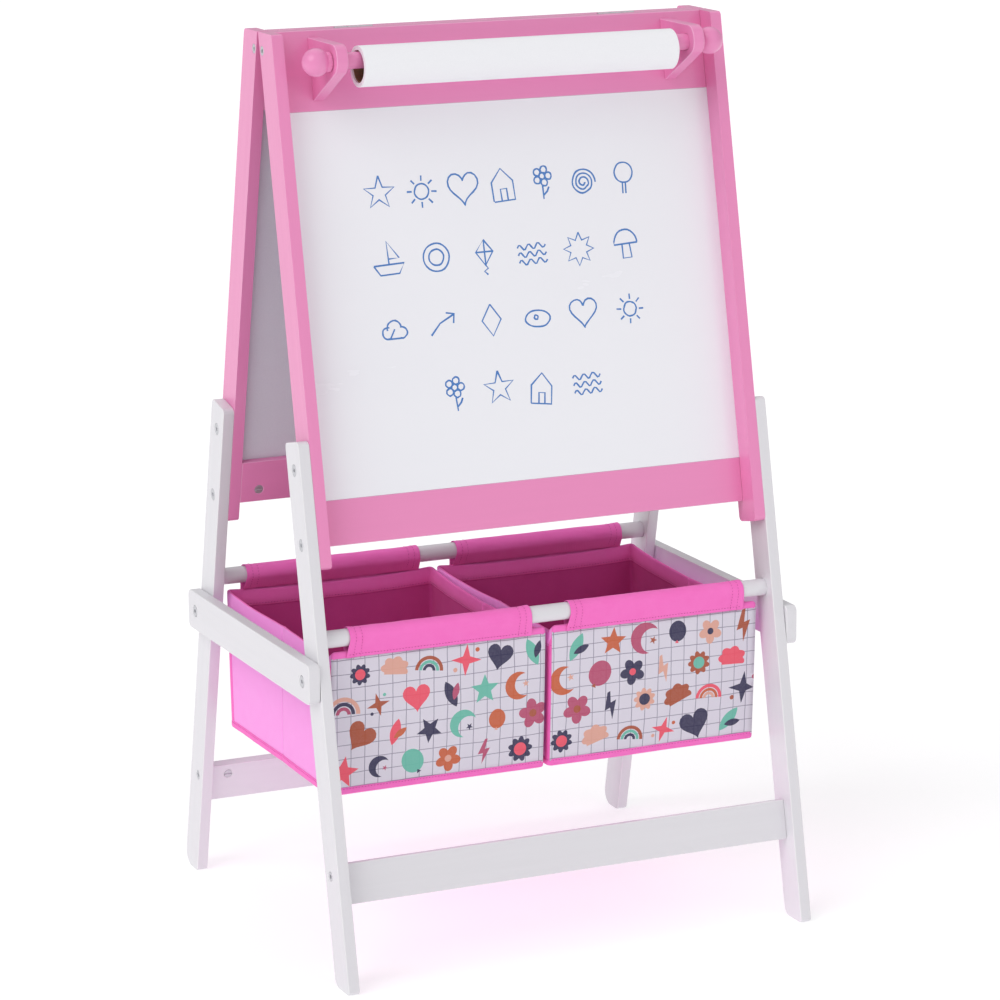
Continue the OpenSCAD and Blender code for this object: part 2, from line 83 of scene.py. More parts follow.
def soft_sun(name, shines_from, strength, softness):
    """A light that is even over the whole floor, so that the floor stays one pale tone."""
    lamp = bpy.data.lights.new(name, "SUN")
    lamp.energy = strength
    lamp.angle = math.radians(softness)
    holder = bpy.data.objects.new(name, lamp)
    holder.rotation_euler = (-Vector(shines_from)).to_track_quat("-Z", "Y").to_euler()
    bpy.context.scene.collection.objects.link(holder)


soft_sun("key_light", (-2.4, -0.9, 2.2), 1.20, 45.0)
soft_sun("front_light", (0.5, -2.5, 1.6), 0.36, 60.0)
soft_sun("top_light", (0.6, 1.2, 3.0), 0.46, 60.0)

sky = bpy.data.worlds.new("studio")
sky.use_nodes = True
sky.node_tree.nodes["Background"].inputs["Color"].default_value = (1.0, 1.0, 1.0, 1.0)
sky.node_tree.nodes["Background"].inputs["Strength"].default_value = 0.45
bpy.context.scene.world = sky


def linear(red, green, blue):
    """A paint-chart colour, 0 to 255 a channel, as linear light with full alpha."""
    def channel(part):
        share = part / 255.0
        if share <= 0.04045:
            return share / 12.92
        return ((share + 0.055) / 1.055) ** 2.4
    return (channel(red), channel(green), channel(blue), 1.0)


def new_object(name, points, faces, finishes):
    """A smooth-shaded mesh object, with its finishes in the order of its material slots."""
    mesh = bpy.data.meshes.new(name)
    mesh.from_pydata([tuple(p) for p in points], [], faces)
    mesh.validate()
    for finish in finishes:
        mesh.materials.append(finish)
    mesh.polygons.foreach_set("use_smooth", [True] * len(mesh.polygons))
    made = bpy.data.objects.new(name, mesh)
    bpy.context.scene.collection.objects.link(made)
    return made


class Flow:
    """A shader socket that works in sums, so that a mask reads as arithmetic."""

    def __init__(self, finish, socket):
        self.finish = finish
        self.socket = socket

    def maths(self, operation, other=0.0):
        return self.finish.node("Math", {"operation": operation}, {0: self, 1: other})

    def __add__(self, other):
        return self.maths("ADD", other)

    def __sub__(self, other):
        return self.maths("SUBTRACT", other)

    def __rsub__(self, other):
        return self.finish.node("Math", {"operation": "SUBTRACT"}, {0: other, 1: self})

    def __mul__(self, other):
        return self.maths("MULTIPLY", other)

    def __lt__(self, other):
        return self.maths("LESS_THAN", other)

    def __gt__(self, other):
        return self.maths("GREATER_THAN", other)

    __radd__ = __add__
    __rmul__ = __mul__


class Finish:
    """A material with its nodes, and the few mixes that every finish here is made from."""

    def __init__(self, name, **constants):
        self.material = bpy.data.materials.new(name)
        self.material.use_nodes = True
        self.tree = self.material.node_tree
        self.shader = self.tree.nodes["Principled BSDF"]
        for socket, value in constants.items():
            self.shader.inputs[socket.replace("_", " ")].default_value = value

    def node(self, kind, settings=None, sockets=None, output=0):
        """Adds a shader node, sets it up, then fills its sockets with values or links."""
        made = self.tree.nodes.new("ShaderNode" + kind)
        for name, value in (settings or {}).items():
            setattr(made, name, value)
        for name, value in (sockets or {}).items():
            if isinstance(value, Flow):
                self.tree.links.new(value.socket, made.inputs[name])
            else:
                made.inputs[name].default_value = value
        return Flow(self, made.outputs[output])

    def place(self, tilt=0.0, stretch=(1.0, 1.0, 1.0)):
        """Where a point is on the object, tilted about X and then stretched, in metres."""
        where = self.node("TexCoord", output="Object")
        turned = self.node("Mapping", {}, {"Vector": where, "Rotation": (tilt, 0.0, 0.0)})
        return self.node("Mapping", {}, {"Vector": turned, "Scale": stretch})

    def noise(self, where, scale, detail=3.0, roughness=0.55):
        return self.node("TexNoise", {}, {"Vector": where, "Scale": scale, "Detail": detail,
                                          "Roughness": roughness})

    def mix(self, share, first, second):
        """A blend of two colours, from the first at a share of 0 to the second at 1."""
        return self.node("Mix", {"data_type": "RGBA"}, {0: share, 6: first, 7: second}, output=2)

    def bump(self, height, depth, strength):
        return self.node("Bump", {}, {"Height": height, "Distance": depth, "Strength": strength})

    def feed(self, **sockets):
        """Links what changes over the surface into the shader, and gives the material."""
        for socket, value in sockets.items():
            self.tree.links.new(value.socket, self.shader.inputs[socket.replace("_", " ")])
        return self.material


floor_paint = Finish("studio_floor", Roughness=0.9, Specular_IOR_Level=0.2, Emission_Strength=0.52)
floor_mottle = floor_paint.noise(floor_paint.place(), 3.0)
floor_tone = floor_paint.mix(floor_mottle, linear(206, 206, 207), linear(210, 210, 210))
floor_glow = floor_paint.mix(floor_mottle, linear(251, 251, 252), linear(254, 254, 254))
floor_paint.feed(Base_Color=floor_tone, Emission_Color=floor_glow)
floor_reach = 30.0
floor = new_object(
    "studio_floor",
    [(-floor_reach, -floor_reach, 0), (floor_reach, -floor_reach, 0),
     (floor_reach, floor_reach, 0), (-floor_reach, floor_reach, 0)],
    [(0, 1, 2, 3)],
    [floor_paint.material],
)


# ---- Painted timber ----
# Planed softwood bars and rails, sanded round at the edges and sprayed: pink above, white below.
# The grain still shows faintly through the lacquer, along each bar, and the edges are painted lighter:
# partly thinner paint, partly a painted highlight.

fold = next(joint for joint in frame["joints"] if joint["name"] == "fold")
lean = math.radians(fold["range_deg"][1] / 2)
pin_height = (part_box("hinge_pin_left")[0].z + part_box("hinge_pin_left")[1].z) / 2
pink = linear(240, 142, 194)
# The lighter edge tones stand for paint thinned on the rounded edges and for a painted highlight where
# the edges catch the light.
pink_edge_wear_and_highlight = linear(244, 164, 207)
white = linear(229, 227, 232)
white_edge_wear_and_highlight = linear(237, 236, 239)
grain_shade = 0.87
edge_round = 0.0009
sharp_edge = math.radians(35.0)
still_flat = math.radians(1.0)
same_point = 0.00001
grain_length = 5.0
grain_width = 130.0
band_scale = 0.14


def lacquered_timber(name, paint, tilt, along):
    """Lacquer on wood whose grain runs along axis 0, 1 or 2 after tilting by tilt about X."""
    stretch = [grain_width] * 3
    stretch[along] = grain_length
    finish = Finish(name, Coat_Weight=0.4, Coat_Roughness=0.16, Specular_IOR_Level=0.5)
    fibres = finish.noise(finish.place(tilt, stretch), 1.0, 4.0, 0.6)
    bands = finish.noise(finish.place(tilt, [part * band_scale for part in stretch]), 1.0, 2.0)
    spray = finish.noise(finish.place(), 900.0, 2.0)
    darker = tuple(part * grain_shade for part in paint[:3]) + (1.0,)
    tone = finish.mix(bands * 0.5 + fibres * 0.35, paint, darker)
    return finish.feed(
        Base_Color=tone,
        Roughness=0.32 + fibres * 0.16,
        Normal=finish.bump(fibres * 0.7 + spray * 0.3, 0.00022, 0.55),
    )


def ease_edges(node, width):
    """Rounds a CAD node's sharp edges, in the node's second finish where it has one."""
    part = frame["nodes"][node]
    weld = part.modifiers.new("weld", "WELD")
    weld.merge_threshold = same_point
    flats = part.modifiers.new("flats", "DECIMATE")
    flats.decimate_type = "DISSOLVE"
    flats.angle_limit = still_flat
    bevel = part.modifiers.new("eased_edges", "BEVEL")
    bevel.width = width
    bevel.segments = 2
    bevel.limit_method = "ANGLE"
    bevel.angle_limit = sharp_edge
    # A stile has one corner with very short edges, so its easing is held back to fit them.
    bevel.use_clamp_overlap = "stile" in node
    bevel.loop_slide = False
    # The rounded edges take the second finish, which on the timber is the lighter edge paint, partly a
    # painted highlight.
    bevel.material = 1
    normals = part.modifiers.new("even_normals", "WEIGHTED_NORMAL")
    normals.keep_sharp = False


def paint_node(node, *finishes):
    """Gives a CAD node these finishes instead of its plain CAD colour."""
    mesh = frame["nodes"][node].data
    mesh.materials.clear()
    for finish in finishes:
        mesh.materials.append(finish)


timber = {
    "pink": {
        "front": ["front_stile_left", "front_stile_right"],
        "rear": ["rear_stile_left", "rear_stile_right"],
        "across": ["front_top_rail", "front_bottom_rail", "rear_top_rail", "rear_bottom_rail"],
        "bracket": ["roll_bracket_left", "roll_bracket_right"],
        "turned": ["spindle_dowel", "spindle_knob_left", "spindle_knob_right"],
    },
    "white": {
        "front": ["front_leg_left", "front_leg_right"],
        "rear": ["rear_leg_left", "rear_leg_right"],
        "across": ["front_foot_rail", "rear_foot_rail"],
        "brace": ["side_brace_left", "side_brace_right"],
        "turned": ["front_rod", "rear_rod"],
    },
}
grain_of = {
    "front": (lean, 2),
    "rear": (-lean, 2),
    "across": (0.0, 0),
    "bracket": (lean, 2),
    "brace": (0.0, 1),
    "turned": (0.0, 0),
}
paints = {"pink": (pink, pink_edge_wear_and_highlight), "white": (white, white_edge_wear_and_highlight)}
for shade, groups in timber.items():
    for group, nodes in groups.items():
        tilt, along = grain_of[group]
        face = lacquered_timber(f"{shade}_lacquer_{group}", paints[shade][0], tilt, along)
        # The edge finish: a lighter paint that is partly thinner paint and partly a painted highlight.
        edge = lacquered_timber(f"{shade}_edge_{group}", paints[shade][1], tilt, along)
        for node in nodes:
            paint_node(node, face, edge)
            if group != "turned":
                ease_edges(node, edge_round)


# ---- Bolts, nuts and hinges ----
# Zinc-plated steel, turned and stamped: hex-socket bolts let in flush, slotted barrel nuts, and
# two small butt hinges on top. The plating is a little mottled and has fine turning marks.

steel_edge_round = 0.0004
steel_finish = Finish("plated_steel", Metallic=0.75)
turning = steel_finish.noise(steel_finish.place(0.0, (2600.0, 300.0, 300.0)), 1.0, 2.0)
spots = steel_finish.noise(steel_finish.place(), 420.0, 4.0)
plated_steel = steel_finish.feed(
    Base_Color=steel_finish.mix(spots, linear(178, 179, 184), linear(216, 216, 220)),
    Roughness=0.24 + turning * 0.22,
    Normal=steel_finish.bump(turning, 0.00004, 0.5),
)
steel_nodes = [
    name for name in frame["nodes"]
    if any(word in name for word in ("bolt", "nut", "screw", "hinge", "insert"))
]
for node in steel_nodes:
    paint_node(node, plated_steel)
    if node.endswith(("bolts", "nuts")):
        ease_edges(node, steel_edge_round)


# ---- Boards ----
# In front a dry-erase board: hardboard with a glossy white film. At the back a hardboard panel
# with a chalk sheet glued on its outer side, black with a haze of wiped chalk.

film = Finish("dry_erase_film", Coat_Weight=0.3, Coat_Roughness=0.08, Specular_IOR_Level=0.5)
wiped = film.noise(film.place(lean, (3.0, 1.0, 9.0)), 1.4, 5.0, 0.6)
orange_peel = film.noise(film.place(), 260.0, 2.0)
white_film = film.feed(
    Base_Color=film.mix(wiped, linear(241, 241, 246), linear(238, 238, 244)),
    Roughness=0.24 + wiped * 0.05,
    Normal=film.bump(orange_peel, 0.00006, 0.35),
)
pressed = Finish("hardboard", Specular_IOR_Level=0.35)
fibre = pressed.noise(pressed.place(), 520.0, 5.0, 0.7)
cloudy = pressed.noise(pressed.place(), 9.0, 3.0)
hardboard = pressed.feed(
    Base_Color=pressed.mix(fibre * 0.6 + cloudy * 0.4, linear(224, 222, 230), linear(206, 203, 214)),
    Roughness=0.52 + fibre * 0.2,
    Normal=pressed.bump(fibre, 0.00018, 0.6),
)
slate = Finish("chalk_surface", Specular_IOR_Level=0.3)
dust = slate.noise(slate.place(-lean, (5.0, 1.0, 2.0)), 1.6, 6.0, 0.62)
tooth = slate.noise(slate.place(), 1400.0, 2.0)
chalk_surface = slate.feed(
    Base_Color=slate.mix(dust * dust * 0.55, linear(34, 36, 40), linear(120, 124, 128)),
    Roughness=0.78 + tooth * 0.16,
    Normal=slate.bump(tooth, 0.00012, 0.6),
)
for node, finish, slot in (
    ("whiteboard", white_film, "dry_erase_board"),
    ("rear_board", hardboard, "grey_hardboard"),
    ("chalk_sheet", chalk_surface, "chalk_surface"),
):
    paint_node(node, finish)


# ---- Drawings on the whiteboard ----
# Rows of simple blue marker drawings. Each stroke is a low ribbon of ink on the film, a little
# uneven in width, with paler streaks where the ink lies thin.

mm = 0.001
board_face = 14.5 * mm
ink_width = 2.1 * mm
ink_lift = 0.12 * mm
ink_edge_lift = 0.03 * mm
first_drawing_row = 180.0 * mm
drawing_row_pitch = 74.0 * mm
drawing_height = 37.0 * mm
full_row_reach = 170.0 * mm
short_row_reach = 105.0 * mm
rows_left_of_middle = 5.0 * mm


def ring(across, up, radius, turns=1.0, start=0.0, squeeze=1.0, shrink=0.0):
    """Points round a circle, an ellipse or a spiral, in units of the drawing's height."""
    points_per_turn = 26
    count = max(6, round(points_per_turn * turns))
    found = []
    for i in range(count + 1):
        angle = 2 * math.pi * (start + turns * i / count)
        reach = radius * (1 - shrink * i / count)
        found.append((across + reach * math.cos(angle), up + reach * squeeze * math.sin(angle)))
    return found


def star_line(points, inner, outer=0.5, start=0.25):
    """A closed star with this many points round (0, 0)."""
    found = []
    for i in range(2 * points + 1):
        angle = 2 * math.pi * (start + i / (2 * points))
        reach = outer if i % 2 == 0 else inner
        found.append((reach * math.cos(angle), reach * math.sin(angle)))
    return found


def heart_line(count=30):
    """A closed heart, clockwise from its notch."""
    found = []
    for i in range(count + 1):
        angle = 2 * math.pi * i / count
        found.append((0.47 * math.sin(angle) ** 3,
                      (13 * math.cos(angle) - 5 * math.cos(2 * angle) - 2 * math.cos(3 * angle)
                       - math.cos(4 * angle)) / 32 + 0.06))
    return found


sun = [ring(0, 0, 0.22)] + [
    [(0.3 * math.cos(a), 0.3 * math.sin(a)), (0.46 * math.cos(a), 0.46 * math.sin(a))]
    for a in (math.pi * i / 4 for i in range(8))]
house = [[(-0.34, -0.45), (-0.34, 0.1), (0, 0.48), (0.34, 0.1), (0.34, -0.45), (-0.34, -0.45)],
         [(-0.08, -0.45), (-0.08, -0.12), (0.12, -0.12), (0.12, -0.45)]]
flower = [ring(0, 0.18, 0.09)] + [
    ring(0.19 * math.cos(a), 0.18 + 0.19 * math.sin(a), 0.1)
    for a in (math.pi * i / 2.5 for i in range(5))
] + [[(0, -0.1), (0.02, -0.48)], [(0.02, -0.36), (0.14, -0.26), (0.2, -0.14)]]
tree = [ring(0, 0.15, 0.3), [(-0.05, -0.13), (-0.05, -0.48)], [(0.05, -0.13), (0.05, -0.48)]]
boat = [[(-0.45, -0.15), (0.45, -0.15), (0.28, -0.42), (-0.28, -0.42), (-0.45, -0.15)],
        [(0, -0.15), (0, 0.48), (0.32, 0.0), (0, 0.0)]]
cloud = [ring(-0.2, -0.02, 0.17, 0.62, 0.2) + [(0.0125, 0.0941)],
         ring(0.0, 0.12, 0.22, 0.55, 0.0), ring(0.24, -0.02, 0.16, 0.62, 0.68),
         [(-0.24, -0.19), (0.26, -0.18)]]
kite = [[(0, 0.48), (0.26, 0.14), (0, -0.24), (-0.26, 0.14), (0, 0.48), (0, -0.24),
         (0.07, -0.32), (-0.05, -0.4), (0.05, -0.5)], [(-0.26, 0.14), (0.26, 0.14)]]
mushroom = [ring(0, 0.0, 0.38, 0.5, 0.0, 1.1) + [(0.38, 0.0)],
            [(-0.12, 0.0), (-0.14, -0.42), (0.14, -0.42), (0.12, 0.0)]]
waves = [[(-0.45 + 0.05 * i, height + 0.08 * math.sin(i * 1.05)) for i in range(19)]
         for height in (-0.22, 0.0, 0.22)]
arrow = [[(-0.4, -0.3), (-0.1, 0.05), (0.35, 0.3)], [(0.1, 0.36), (0.37, 0.32), (0.34, 0.04)]]
star = [star_line(5, 0.2)]
sparkle = [star_line(8, 0.26, 0.46)]
diamond = [star_line(2, 0.3, 0.46)]
heart = [heart_line()]
spiral = [ring(0, 0, 0.42, 3.0, shrink=0.85)]
two_rings = [ring(0, 0, 0.42), ring(0, 0, 0.24)]
eye = [ring(0, 0, 0.4, squeeze=0.6), ring(-0.05, 0.04, 0.06)]
drawing_rows = [
    [star, sun, heart, house, flower, spiral, tree],
    [boat, two_rings, kite, waves, sparkle, mushroom],
    [cloud, arrow, diamond, eye, heart, sun],
    [flower, star, house, waves],
]


def on_board(across, down, lift):
    """A point on the whiteboard: across from the middle, down from the hinge pins, off the face."""
    out = board_face + lift
    return Vector((across, -(down * math.sin(lean) + out * math.cos(lean)),
                   pin_height - (down * math.cos(lean) - out * math.sin(lean))))


def place_drawing(drawing, row, column, share):
    """The drawing's lines as (across, down) on the board, a little tilted, sized and shaken."""
    seed = Vector((row * 3.7, column * 5.1, 0.4))
    reach = short_row_reach if row == len(drawing_rows) - 1 else full_row_reach
    middle_x = -reach - rows_left_of_middle + 2 * reach * share + noise.noise(seed) * 4 * mm
    middle_down = first_drawing_row + drawing_row_pitch * row + noise.noise(seed * 1.7) * 6 * mm
    tilt = noise.noise(seed * 2.3) * 0.22
    height = drawing_height * (1 + 0.14 * noise.noise(seed * 3.1))
    lines = []
    for line in drawing:
        placed = []
        for index, (x, up) in enumerate(line):
            shake = noise.noise(Vector((index * 0.3, row * 2.0, column * 3.0))) * 0.02
            turned_x = x * math.cos(tilt) - up * math.sin(tilt) + shake
            turned_up = x * math.sin(tilt) + up * math.cos(tilt) - shake
            placed.append((middle_x + turned_x * height, middle_down - turned_up * height))
        lines.append(placed)
    return lines


def ink_ribbon(line):
    """One stroke as three points across at each of its places, and the faces between them."""
    points = []
    for index, (x, down) in enumerate(line):
        before = line[max(index - 1, 0)]
        after = line[min(index + 1, len(line) - 1)]
        along = Vector((after[0] - before[0], after[1] - before[1]))
        along = along.normalized() if along.length > 0 else Vector((1.0, 0.0))
        half = ink_width / 2 * (0.9 + 0.3 * noise.noise(Vector((x * 300, down * 300, 1.0))))
        points.append(on_board(x - along.y * half, down + along.x * half, ink_edge_lift))
        points.append(on_board(x, down, ink_lift))
        points.append(on_board(x + along.y * half, down - along.x * half, ink_edge_lift))
    faces = []
    for index in range(len(line) - 1):
        corner = 3 * index
        faces.append((corner, corner + 1, corner + 4, corner + 3))
        faces.append((corner + 1, corner + 2, corner + 5, corner + 4))
    return points, faces


def joined(patches):
    """One list of points and one of faces from several (points, faces) pairs."""
    points = []
    faces = []
    for patch_points, patch_faces in patches:
        start = len(points)
        points += patch_points
        faces += [tuple(i + start for i in face) for face in patch_faces]
    return points, faces


def draw_board():
    """All the drawings as one object, in blue marker ink with the streaks of a felt tip."""
    strokes = []
    for row, drawings in enumerate(drawing_rows):
        for column, drawing in enumerate(drawings):
            share = (column + 0.5) / len(drawings)
            strokes += [ink_ribbon(line) for line in place_drawing(drawing, row, column, share)]
    ink = Finish("blue_marker_ink", Specular_IOR_Level=0.4, Coat_Weight=0.15)
    streaks = ink.noise(ink.place(0.0, (700.0, 700.0, 700.0)), 1.0, 3.0, 0.6)
    flow = ink.noise(ink.place(), 60.0, 3.0)
    blue = ink.feed(
        Base_Color=ink.mix(streaks * 0.5 + flow * 0.3, linear(38, 98, 178), linear(104, 156, 214)),
        Roughness=0.4 + streaks * 0.25,
        Normal=ink.bump(streaks, 0.00005, 0.5),
    )
    drawn = new_object("whiteboard_drawings", *joined(strokes), [blue])
    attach(drawn, "front_frame")


draw_board()


# ---- Paper roll ----
# Drawing paper wound on a spiral cardboard tube. The turns show as fine rings on the cut ends,
# and the outer face has the soft ripple of wound paper.

turn_frequency = 9000.0  # radians of the ripple in each metre outwards
roll_low, roll_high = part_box("roll_paper")
roll_axis = (roll_low + roll_high) / 2
sheet_paper = Finish("drawing_paper", Specular_IOR_Level=0.3)
paper_place = sheet_paper.place()
centred = sheet_paper.node("VectorMath", {"operation": "SUBTRACT"},
                           {0: paper_place, 1: tuple(roll_axis)})
flattened = sheet_paper.node("VectorMath", {"operation": "MULTIPLY"},
                             {0: centred, 1: (0.0, 1.0, 1.0)})
turn_radius = sheet_paper.node("VectorMath", {"operation": "LENGTH"},
                               {0: flattened}, output="Value")
turns = (turn_radius * turn_frequency).maths("SINE")
paper_fibre = sheet_paper.noise(paper_place, 900.0, 4.0)
paper_ripple = sheet_paper.noise(sheet_paper.place(0.0, (6.0, 40.0, 40.0)), 1.0, 2.0)
drawing_paper = sheet_paper.feed(
    Base_Color=sheet_paper.mix(paper_fibre, linear(247, 247, 250), linear(238, 238, 243)),
    Roughness=0.62 + paper_fibre * 0.18,
    Normal=sheet_paper.bump(turns * 0.25 + paper_ripple + paper_fibre * 0.3, 0.00025, 0.6),
)
tube_card = Finish("core_cardboard", Specular_IOR_Level=0.25)
card_fibre = tube_card.noise(tube_card.place(0.0, (240.0, 900.0, 900.0)), 1.0, 4.0, 0.7)
cardboard = tube_card.feed(
    Base_Color=tube_card.mix(card_fibre, linear(150, 118, 88), linear(116, 88, 64)),
    Roughness=0.8 + card_fibre * 0.15,
    Normal=tube_card.bump(card_fibre, 0.0002, 0.7),
)
paint_node("roll_paper", drawing_paper)
paint_node("roll_core", cardboard)


# ---- Fabric bins ----
# Two open bags of stiffened non-woven cloth hang side by side from the two rods. The walls belly
# out a little, the side walls are creased where the bag folds flat, and the floor sags. Tapes
# cover the rim, the bottom edge and the corners, and walls and tapes move with the front frame.

front_rod_low, front_rod_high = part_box("front_rod")
rod_middle = (front_rod_low + front_rod_high) / 2
rod_radius = (front_rod_high.z - front_rod_low.z) / 2
rod_reach = abs(rod_middle.y)
panel_beyond_rod = 3.0 * mm
panel_reach = rod_reach + panel_beyond_rod
floor_gap = 1.2 * mm
side_gap = 0.8 * mm
rim_below_rod = 21.5 * mm
bin_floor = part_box("bin_left")[0].z + floor_gap
bin_rim = rod_middle.z - rim_below_rod
corner_radius = 5.0 * mm
taper = 7.0 * mm
rear_corner_lift = 4.0 * mm
rim_droop = 1.6 * mm
belly = 2.4 * mm
fold_at = {"left": 0.52, "right": 0.48}
crease_width = 1.6 * mm
crease_depth = 0.9 * mm
cloth_step = 6.0 * mm

hot_pink = linear(255, 132, 210)
side_pink = linear(254, 170, 238)
# The inside of the bag is the same hot pink cloth as the outside; its darker pink is painted shade.
inside_painted_shade_pink = linear(212, 78, 156)
thread_pink = linear(196, 58, 138)


def woven(name, cloth, shade, thread_scale=1500.0, ground=None):
    """Fine cloth: crossed threads, soft mottling and a faint fuzz, with no shine."""
    finish = Finish(name, Sheen_Weight=0.12, Sheen_Roughness=0.5, Specular_IOR_Level=0.2)
    where = finish.place()
    if ground:
        cloth, shade = ground(finish, where, cloth, shade)
    mottle = finish.noise(where, 55.0, 4.0, 0.6)
    fuzz = finish.noise(where, 1300.0, 3.0, 0.7)
    warp = finish.node("TexWave", {"bands_direction": "DIAGONAL"},
                       {"Vector": where, "Scale": thread_scale * 0.2, "Distortion": 0.6})
    weft = finish.node("TexWave", {"bands_direction": "Z"},
                       {"Vector": where, "Scale": thread_scale * 0.3, "Distortion": 0.6})
    threads = warp * 0.5 + weft * 0.5
    tone = finish.mix(mottle * 0.55 + fuzz * 0.3, cloth, shade)
    return finish.feed(
        Base_Color=tone,
        Roughness=0.78 + fuzz * 0.2,
        Normal=finish.bump(threads * 0.6 + fuzz * 0.5 + mottle * 0.4, 0.00025, 0.6),
    )


side_cloth = woven("bin_side_cloth", side_pink, linear(250, 152, 228))
hem_cloth = woven("bin_hem_cloth", hot_pink, linear(246, 100, 190))
# Painted shade for the inside of the bags, on the same cloth.
inside_painted_shade_cloth = woven("bin_lining_cloth", inside_painted_shade_pink, linear(190, 60, 136))
seam_thread = woven("bin_thread", thread_pink, linear(170, 40, 115), 4000.0)


class Bag:
    """The sewing pattern of one bin: where a point of a wall is, once the bin hangs on its rods."""

    def __init__(self, name, side):
        low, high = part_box(name)
        self.name = name
        self.side = side
        self.left = low.x + side_gap
        self.right = high.x - side_gap
        self.middle = (self.left + self.right) / 2
        self.width = self.right - self.left
        self.depth = 2 * panel_reach
        self.height = bin_rim - bin_floor

    def stations(self, step):
        """Points round the bin in plan, counter-clockwise: position, outward direction, wall, share."""
        half_x = self.width / 2 - corner_radius
        half_y = panel_reach - corner_radius
        spans = {
            "front": ((-half_x, -half_y), (1, 0), (0, -1), 2 * half_x),
            "right": ((half_x, -half_y), (0, 1), (1, 0), 2 * half_y),
            "rear": ((half_x, half_y), (-1, 0), (0, 1), 2 * half_x),
            "left": ((-half_x, half_y), (0, -1), (-1, 0), 2 * half_y),
        }
        found = []
        for wall, (start, along, out, length) in spans.items():
            count = max(2, round(length / step))
            runs = [length * i / count for i in range(count + 1)]
            if wall in fold_at:
                runs += [length * fold_at[wall] + shift for shift in (-crease_width, 0.0, crease_width)]
            for run in sorted(runs):
                found.append((
                    Vector((start[0] + along[0] * run + out[0] * corner_radius,
                            start[1] + along[1] * run + out[1] * corner_radius, 0.0)),
                    Vector((out[0], out[1], 0.0)), wall, run / length))
            corner = Vector((start[0] + along[0] * length, start[1] + along[1] * length, 0.0))
            first_angle = math.atan2(out[1], out[0])
            for i in range(1, 4):
                angle = first_angle + math.pi / 2 * i / 4
                direction = Vector((math.cos(angle), math.sin(angle), 0.0))
                found.append((corner + direction * corner_radius, direction, wall, 1.0))
        return found

    def slack(self, wall, share, rise, spot):
        """How far the cloth stands out from a flat wall here, in metres."""
        across = math.sin(math.pi * min(max(share, 0.0), 1.0))
        up = math.sin(math.pi * min(max(rise, 0.0), 1.0))
        ripple = noise.noise(Vector((spot.x * 16, spot.y * 16, spot.z * 10 + 7.3 * self.side)))
        fine = noise.noise(Vector((spot.x * 60, spot.y * 60, spot.z * 26 - 3.1)))
        loose = min(1.0, across * 3)
        if wall in ("front", "rear"):
            rim_pull = 0.9 * mm * math.sin(share * 9 * math.pi) * max(0.0, rise - 0.55) * across
            return across * up * belly + (ripple * 1.2 * mm + fine * 0.35 * mm) * loose + rim_pull
        from_fold = abs(share - fold_at[wall])
        inwards = max(0.0, 1 - from_fold / 0.5) ** 1.25 * (1.2 + 4.2 * min(rise, 1.0)) * mm
        crease = max(0.0, 1 - from_fold * self.depth / crease_width) * crease_depth
        return -inwards - crease + (ripple * 1.1 * mm + fine * 0.3 * mm) * loose

    def drawn_in(self, rise):
        """How much of its depth the bag has at this share of its height: least at the floor."""
        return 1 - taper / panel_reach * max(0.0, 1 - rise) ** 1.3

    def on_wall(self, station, height, lift=0.0):
        """The point at this station and height above the bin's floor, lifted off the cloth."""
        spot, out, wall, share = station
        place = Vector((self.middle + spot.x, spot.y, bin_floor + height))
        rise = height / self.height
        droop = 0.0
        if wall in ("left", "right"):
            droop = rim_droop * math.sin(math.pi * share) * max(0.0, rise)
        place += out * (self.slack(wall, share, rise, place) + lift)
        place.y *= self.drawn_in(rise)
        backwards = max(0.0, (spot.y / panel_reach - 0.35) / 0.65)
        sideways = abs(2 * spot.x / self.width)
        place.z += rear_corner_lift * (backwards * sideways * max(0.0, rise)) ** 3 - droop
        return place

    def front_point(self, across, height, lift):
        """A point of the front wall, across it from its left edge, both in metres."""
        share = (across - corner_radius) / (self.width - 2 * corner_radius)
        spot = Vector((across - self.width / 2, -panel_reach, 0.0))
        return self.on_wall((spot, Vector((0.0, -1.0, 0.0)), "front", share), height, lift)


def grid_faces(columns, rows, closed):
    """Faces of a grid of points stored row after row, with outward faces on a counter-clockwise ring."""
    faces = []
    for row in range(rows - 1):
        for column in range(columns if closed else columns - 1):
            beside = (column + 1) % columns
            faces.append((row * columns + column, row * columns + beside,
                          (row + 1) * columns + beside, (row + 1) * columns + column))
    return faces


shell_thickness = 1.6 * mm
floor_sag = 1.1 * mm


def goes_flat(piece):
    """The piece is sewn into the bin's walls, so it moves with the front frame, on a mesh of its own."""
    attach(piece, "front_frame")
    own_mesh(piece)


def thicken(piece, thickness):
    """Lays the cloth's thickness inwards from its outer face."""
    cloth = piece.modifiers.new("cloth_thickness", "SOLIDIFY")
    cloth.thickness = thickness
    cloth.offset = -1.0
    return cloth


